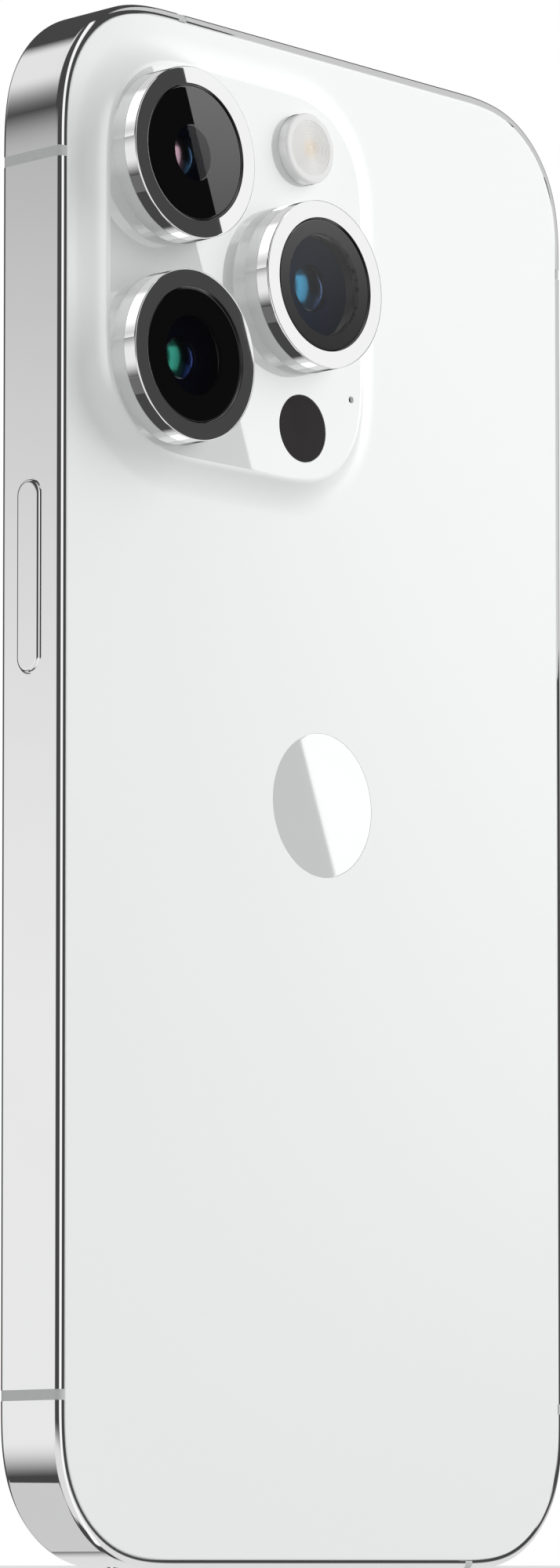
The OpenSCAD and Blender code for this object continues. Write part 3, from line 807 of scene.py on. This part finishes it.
def flash_lens():
    """A milky lens with a rounded rim, a flat border and fine rings around its middle."""
    low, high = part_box("flash_lens")
    at, radius = spot("flash_lens"), radius_of("flash_lens")
    rim = [(radius - inset, y) for inset, y in fillet(0, high.y, 0.3 * MM, 6)]
    field = radius - 0.75 * MM
    rings = 13
    ridges = []
    for i in range(rings):
        outer = field * (1 - i / (rings + 1))
        inner = field * (1 - (i + 1) / (rings + 1))
        ridges += [(outer, high.y - 0.06 * MM), (inner + 0.02 * MM, high.y - 0.01 * MM)]
    border = (field + 0.04 * MM, high.y)
    centre = (0, high.y - 0.03 * MM)
    profile = [(0, low.y), (radius, low.y), *rim, border, *ridges, centre]
    lens = lathe("flash_lens_ringed", at, profile)
    milky = material("flash_milky", (0.9, 0.88, 0.85), 0, 0.25, Coat_Weight=0.6, Coat_Roughness=0.1)
    stops = [
        (0.0, (1.0, 0.90, 0.76)), (0.16, (0.98, 0.90, 0.80)), (0.34, (0.95, 0.93, 0.90)),
        (0.76, (0.93, 0.93, 0.92)), (0.80, (0.97, 0.97, 0.96)), (1.0, (0.98, 0.98, 0.98)),
    ]
    radial_colours(milky, at, radius, stops)
    return finish_piece(lens, [milky], "chassis", "flash_clear", "flash_lens", angle=12)


def depth_window():
    """A flush black window with a fine edge."""
    low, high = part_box("depth_window")
    radius = radius_of("depth_window")
    rim = [(radius - inset, y) for inset, y in fillet(0, high.y, 0.05 * MM, 3)]
    profile = [(0, low.y), (radius, low.y), *rim, (0, high.y)]
    window = lathe("depth_window_flush", spot("depth_window"), profile)
    return finish_piece(window, [depth_glass], "chassis", "black_coat", "depth_window")


def front_glass():
    """The screen's glass: rounded edges, a printed border and the dark display inside it."""
    low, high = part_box("front_glass")
    border = 1.9 * MM
    edge = [(inset, -y) for inset, y in fillet(0, -low.y, 0.35 * MM, 8)]
    layers = [(0, high.y), *edge, (border, low.y)]
    glass = stack("front_glass_shaped", body_outline(GLASS_INSET), layers)
    slot_low, slot_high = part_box("earpiece_mesh")
    middle = (slot_low + slot_high) / 2
    length = slot_high.x - slot_low.x + 0.1 * MM
    width = slot_high.z - slot_low.z + 0.1 * MM
    slot = stadium((middle.x, middle.z), length, width, 8)
    carve(glass, [stack("cutter", slot, [(0, low.y - PAST), (0, high.y + PAST)])])
    finish_piece(glass, [screen_print, screen_area], "chassis", "screen_glass", "front_glass")
    largest = max(glass.data.polygons, key=lambda face: face.area * (face.center.y < low.y + 0.01 * MM))
    largest.material_index = 1
    pill_low, pill_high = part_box("face_sensor")
    height = (pill_low.z + pill_high.z) / 2
    pill = stadium((0, height), 20.8 * MM, 6 * MM)
    proud = 0.015 * MM
    layers = [(0, low.y + 0.1 * MM), (0, low.y), (0.02 * MM, low.y - proud)]
    window = stack("front_sensor_window", pill, layers)
    finish_piece(window, [screen_print], "chassis", "screen_glass")
    radius = 1.5 * MM
    curve = dome(radius, low.y + 0.01 * MM, math.radians(8), 6)
    cap = [(r, 2 * low.y - proud - y) for r, y in curve]
    at = (centre_of("front_camera").x, height)
    eye = lathe("front_camera_eye", at, [*cap, (radius, low.y), (0, low.y)], 48)
    finish_piece(eye, [depth_glass], "chassis", "screen_glass")
    return glass


def side_button(node, place):
    """A polished key with half round ends and rounded edges."""
    low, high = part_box(node)
    middle = (low + high) / 2
    path = stadium((middle.z, middle.y), high.z - low.z, high.y - low.y, 24)
    top = max(abs(low.x), abs(high.x))
    layers = [(0, SIDE_X - 1.4 * MM), *fillet(0, top, 0.3 * MM, 6)]
    key = stack(f"{node}_key", path, layers, place)
    return finish_piece(key, [button_steel], node, "polished_steel", node)


def mute_lever():
    """The mute lever: a small rounded key on the slider behind the wall."""
    low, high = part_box("mute_lever")
    middle = (low + high) / 2
    at = (middle.z, middle.y)
    path = squircle(at, 5.5 * MM, 1.7 * MM, 0.8 * MM, 8)
    layers = [(0, SIDE_X - 2.75 * MM), *fillet(0, -low.x, 0.2 * MM, 5)]
    key = stack("mute_lever_key", path, layers, on_left)
    path = squircle(at, 6.8 * MM, 2.2 * MM, 0.3 * MM, 4)
    layers = [(0, SIDE_X - 3.5 * MM), (0, SIDE_X - 2.7 * MM)]
    carve(key, [stack("slider", path, layers, on_left)], "UNION")
    return finish_piece(key, [button_steel], "mute_lever", "polished_steel", "mute_lever")


# ---------------------------------------------------------------- studio


def panel(name, azimuth, elevation, width, height, light, only=None, distance=0.8):
    """A soft panel in a direction from the phone, seen only in reflections."""
    a, e = math.radians(azimuth), math.radians(elevation)
    toward = Vector((math.cos(e) * math.cos(a), math.cos(e) * math.sin(a), math.sin(e)))
    middle = Vector((0, 0, BODY_H / 2))
    size = [2 * distance * math.tan(math.radians(share) / 2) for share in (width, height)]
    return reflector(name, middle + toward * distance, -toward, Vector((0, 0, 1)), size, light, only)


def reflector(name, at, facing, up, size, light, only=None):
    """A rectangular light that shines only into glossy reflections, of those pieces if any are given."""
    data = bpy.data.lights.new(name, "AREA")
    data.shape = "RECTANGLE"
    data.size, data.size_y = size
    data.energy = light * math.pi * size[0] * size[1]
    lamp = bpy.data.objects.new(name, data)
    bpy.context.scene.collection.objects.link(lamp)
    back = -facing.normalized()
    side = up.cross(back).normalized()
    top = back.cross(side)
    for row in range(3):
        lamp.matrix_world[row][0] = side[row]
        lamp.matrix_world[row][1] = top[row]
        lamp.matrix_world[row][2] = back[row]
        lamp.matrix_world[row][3] = at[row]
    lamp.visible_camera = False
    lamp.visible_diffuse = False
    if only:
        receive(lamp, only)
    return lamp


def receive(source, pieces):
    """Lets a light shine on some pieces only."""
    group = bpy.data.collections.new(f"{source.name}_receivers")
    for piece in pieces:
        group.objects.link(piece)
    source.light_linking.receiver_collection = group


# The line between two places by the camera side that the bright card starts near, and the heights
# between which a card goes from its low light to its high light
CARD_START = Vector((-288, 244, 40)) * MM
CARD_END = Vector((16.8, 18.2, 155)) * MM
FADE_FROM = 130 * MM
FADE_TO = 152 * MM


def card(name, low_light, high_light, width, inset, pieces):
    """The bright card over the camera side, whose front edge splits the mirrors on the back."""
    along = (CARD_END - CARD_START).normalized()
    across = along.cross(Vector((0, 0, 1))).normalized()
    middle = (CARD_START + CARD_END) / 2 + across * (width / 2 + inset)
    size = ((CARD_END - CARD_START).length, width)
    lamp = reflector(name, middle, along.cross(across), -across, size, 1, pieces)
    lamp.data.use_nodes = True
    tree = lamp.data.node_tree
    place = tree.nodes.new("ShaderNodeNewGeometry")
    split = tree.nodes.new("ShaderNodeSeparateXYZ")
    connect(tree, place.outputs["Position"], split.inputs[0])
    fade = tree.nodes.new("ShaderNodeMapRange")
    fade.interpolation_type = "SMOOTHSTEP"
    fade.inputs["From Min"].default_value = FADE_FROM
    fade.inputs["From Max"].default_value = FADE_TO
    fade.inputs["To Min"].default_value = low_light
    fade.inputs["To Max"].default_value = high_light
    connect(tree, split.outputs[2], fade.inputs["Value"])
    connect(tree, fade.outputs["Result"], tree.nodes["Emission"].inputs["Strength"])


def above(tree, value, limit, soft):
    """0 below a limit and 1 above it."""
    ranged = tree.nodes.new("ShaderNodeMapRange")
    ranged.interpolation_type = "SMOOTHSTEP"
    ranged.inputs["From Min"].default_value = limit - soft
    ranged.inputs["From Max"].default_value = limit + soft
    connect(tree, value, ranged.inputs["Value"])
    return ranged.outputs["Result"]


def within(tree, value, middle, reach, soft):
    """1 up to a reach from a middle, and 0 beyond it."""
    past_low = above(tree, value, middle - reach, soft)
    past_high = above(tree, value, middle + reach, soft)
    return calc(tree, "MULTIPLY", past_low, calc(tree, "SUBTRACT", 1, past_high))


def choose(tree, share, first, second):
    """first where share is 0, and second where it is 1."""
    mixed = tree.nodes.new("ShaderNodeMix")
    mixed.data_type = "RGBA"
    connect(tree, share, mixed.inputs[0])
    for socket, value in ((mixed.inputs[6], first), (mixed.inputs[7], second)):
        if hasattr(value, "links"):
            connect(tree, value, socket)
        else:
            socket.default_value = (value, value, value, 1)
    return mixed.outputs[2]


# What polished metal reflects: a dim room with soft bright walls, and the pale floor's glow. Each
# has the azimuth and elevation of its middle, how far it reaches each way, the softness of its
# edges, and its light
ROOM_LIGHT = 0.06
WALLS = [
    (-30, 0, 30, 15, 10, 0.85),
    (90, 0, 20, 90, 5, 1.0),
    (-70, 45, 20, 20, 10, 0.8),
    (80, -35, 120, 30, 6, 0.75),
    (-155, -35, 35, 30, 6, 0.75),
]

# The light that matte surfaces get from all round
EVEN_LIGHT = 0.60


def world():
    """The studio: white to the eye, an even light on matte surfaces, and a lit room in reflections."""
    made = bpy.data.worlds.new("studio")
    bpy.context.scene.world = made
    made.use_nodes = True
    tree = made.node_tree
    place = tree.nodes.new("ShaderNodeTexCoord")
    split = tree.nodes.new("ShaderNodeSeparateXYZ")
    connect(tree, place.outputs["Generated"], split.inputs[0])
    azimuth = calc(tree, "DEGREES", calc(tree, "ARCTAN2", split.outputs[1], split.outputs[0]))
    elevation = calc(tree, "DEGREES", calc(tree, "ARCSINE", split.outputs[2]))
    shown = ROOM_LIGHT
    for turn, height, width_reach, height_reach, soft, light in WALLS:
        across = within(tree, azimuth, turn, width_reach, soft)
        upright = within(tree, elevation, height, height_reach, soft)
        lit = calc(tree, "MULTIPLY", calc(tree, "MULTIPLY", across, upright), light)
        shown = calc(tree, "MAXIMUM", shown, lit)
    rays = tree.nodes.new("ShaderNodeLightPath")
    mirrored = calc(tree, "MAXIMUM", rays.outputs["Is Glossy Ray"], rays.outputs["Is Transmission Ray"])
    even = choose(tree, rays.outputs["Is Camera Ray"], EVEN_LIGHT, 1.0)
    seen = choose(tree, mirrored, even, shown)
    background = tree.nodes["Background"]
    connect(tree, seen, background.inputs["Color"])
    made.cycles.sampling_method = "NONE"


def side_light(name, azimuth, elevation, strength, softness):
    """A soft light from one side, on matte surfaces only."""
    data = bpy.data.lights.new(name, "SUN")
    data.energy = strength
    data.angle = math.radians(softness)
    lamp = bpy.data.objects.new(name, data)
    bpy.context.scene.collection.objects.link(lamp)
    a, e = math.radians(azimuth), math.radians(elevation)
    toward = Vector((math.cos(e) * math.cos(a), math.cos(e) * math.sin(a), math.sin(e)))
    lamp.rotation_euler = toward.to_track_quat("Z", "Y").to_euler()
    lamp.visible_glossy = False


def floor():
    """A plain pale floor."""
    mesh = bpy.data.meshes.new("floor")
    reach, drop = 1.5, 0.02 * MM
    corners = [(-reach, -reach), (reach, -reach), (reach, reach), (-reach, reach)]
    mesh.from_pydata([(x, y, -drop) for x, y in corners], [], [(0, 1, 2, 3)])
    ground = bpy.data.objects.new("floor", mesh)
    bpy.context.scene.collection.objects.link(ground)
    mesh.materials.append(material("floor_paper", (0.9, 0.9, 0.9), 0, 0.9, mottle=0.02, patch=0.3))
    ground.visible_glossy = False
    ground.visible_diffuse = False


def camera():
    """The photograph's viewpoint: level with the floor, looking slightly up."""
    data = bpy.data.cameras.new("camera")
    data.lens = 131.46
    data.sensor_width = 36
    data.shift_x = -0.0025
    data.shift_y = 0.3
    data.clip_start = 0.01
    data.clip_end = 10
    made = bpy.data.objects.new("camera", data)
    made.location = (403.84 * MM, 377.76 * MM, 0.5 * MM)
    pitch, heading = 3.10, -136.82
    made.rotation_euler = (math.radians(90 + pitch), 0, math.radians(heading - 90))
    bpy.context.scene.collection.objects.link(made)
    bpy.context.scene.camera = made


camera()
dress_cad_nodes()
band = frame_band()
glass = back_glass()
disc = emblem()
rings = [lens_ring(name) for name in CAMERAS]
covers = [lens_cover(name) for name in CAMERAS]
elements = [lens_barrel(name) for name in CAMERAS]
flash = flash_lens()
depth_window()
front_glass()
buttons = [side_button("side_button", on_right)]
buttons += [side_button(f"volume_{way}_button", on_left) for way in ("up", "down")]
mute_lever()

# Only the rings and the flash are mirrored in the polished pieces around them
mirrored = {piece.name for piece in (flash, *rings)}
for piece in bpy.data.objects:
    if piece.type == "MESH" and piece.name not in mirrored:
        piece.visible_glossy = False

world()
floor()

side_light("right_light", 153, 25, 2.2, 50)
card("card_on_glass", 2.2, 2.2, 0.09, 1.3 * MM, [glass])
card("card_on_emblem", 3.5, 3.5, 0.09, 0.8 * MM, [disc])
card("card_on_rings", 0.88, 0.88, 0.022, -0.2 * MM, rings)
card("card_on_lenses", 0.5, 3.0, 0.09, -0.2 * MM, covers)
panel("strip_on_glass", 63, 10, 18, 70, 8, [glass])
panel("strip_on_lenses", 88, 5, 34, 70, 6, elements)
panel("crescents_on_lenses", 175, 5, 24, 60, 6, elements)
panel("ring_patch", -50, -26, 9, 20, 0.09, rings)
panel("top_card", 158, 33, 43, 46, 0.55, [band])
panel("upper_panel", -84, 41, 78, 34, 0.6, rings + [glass])
panel("low_patch", -130, -24, 8, 12, 0.6, rings + [glass])
panel("lower_panel", -80, -40, 52, 22, 0.55, [band, *buttons])

bpy.context.scene.view_settings.view_transform = "Standard"
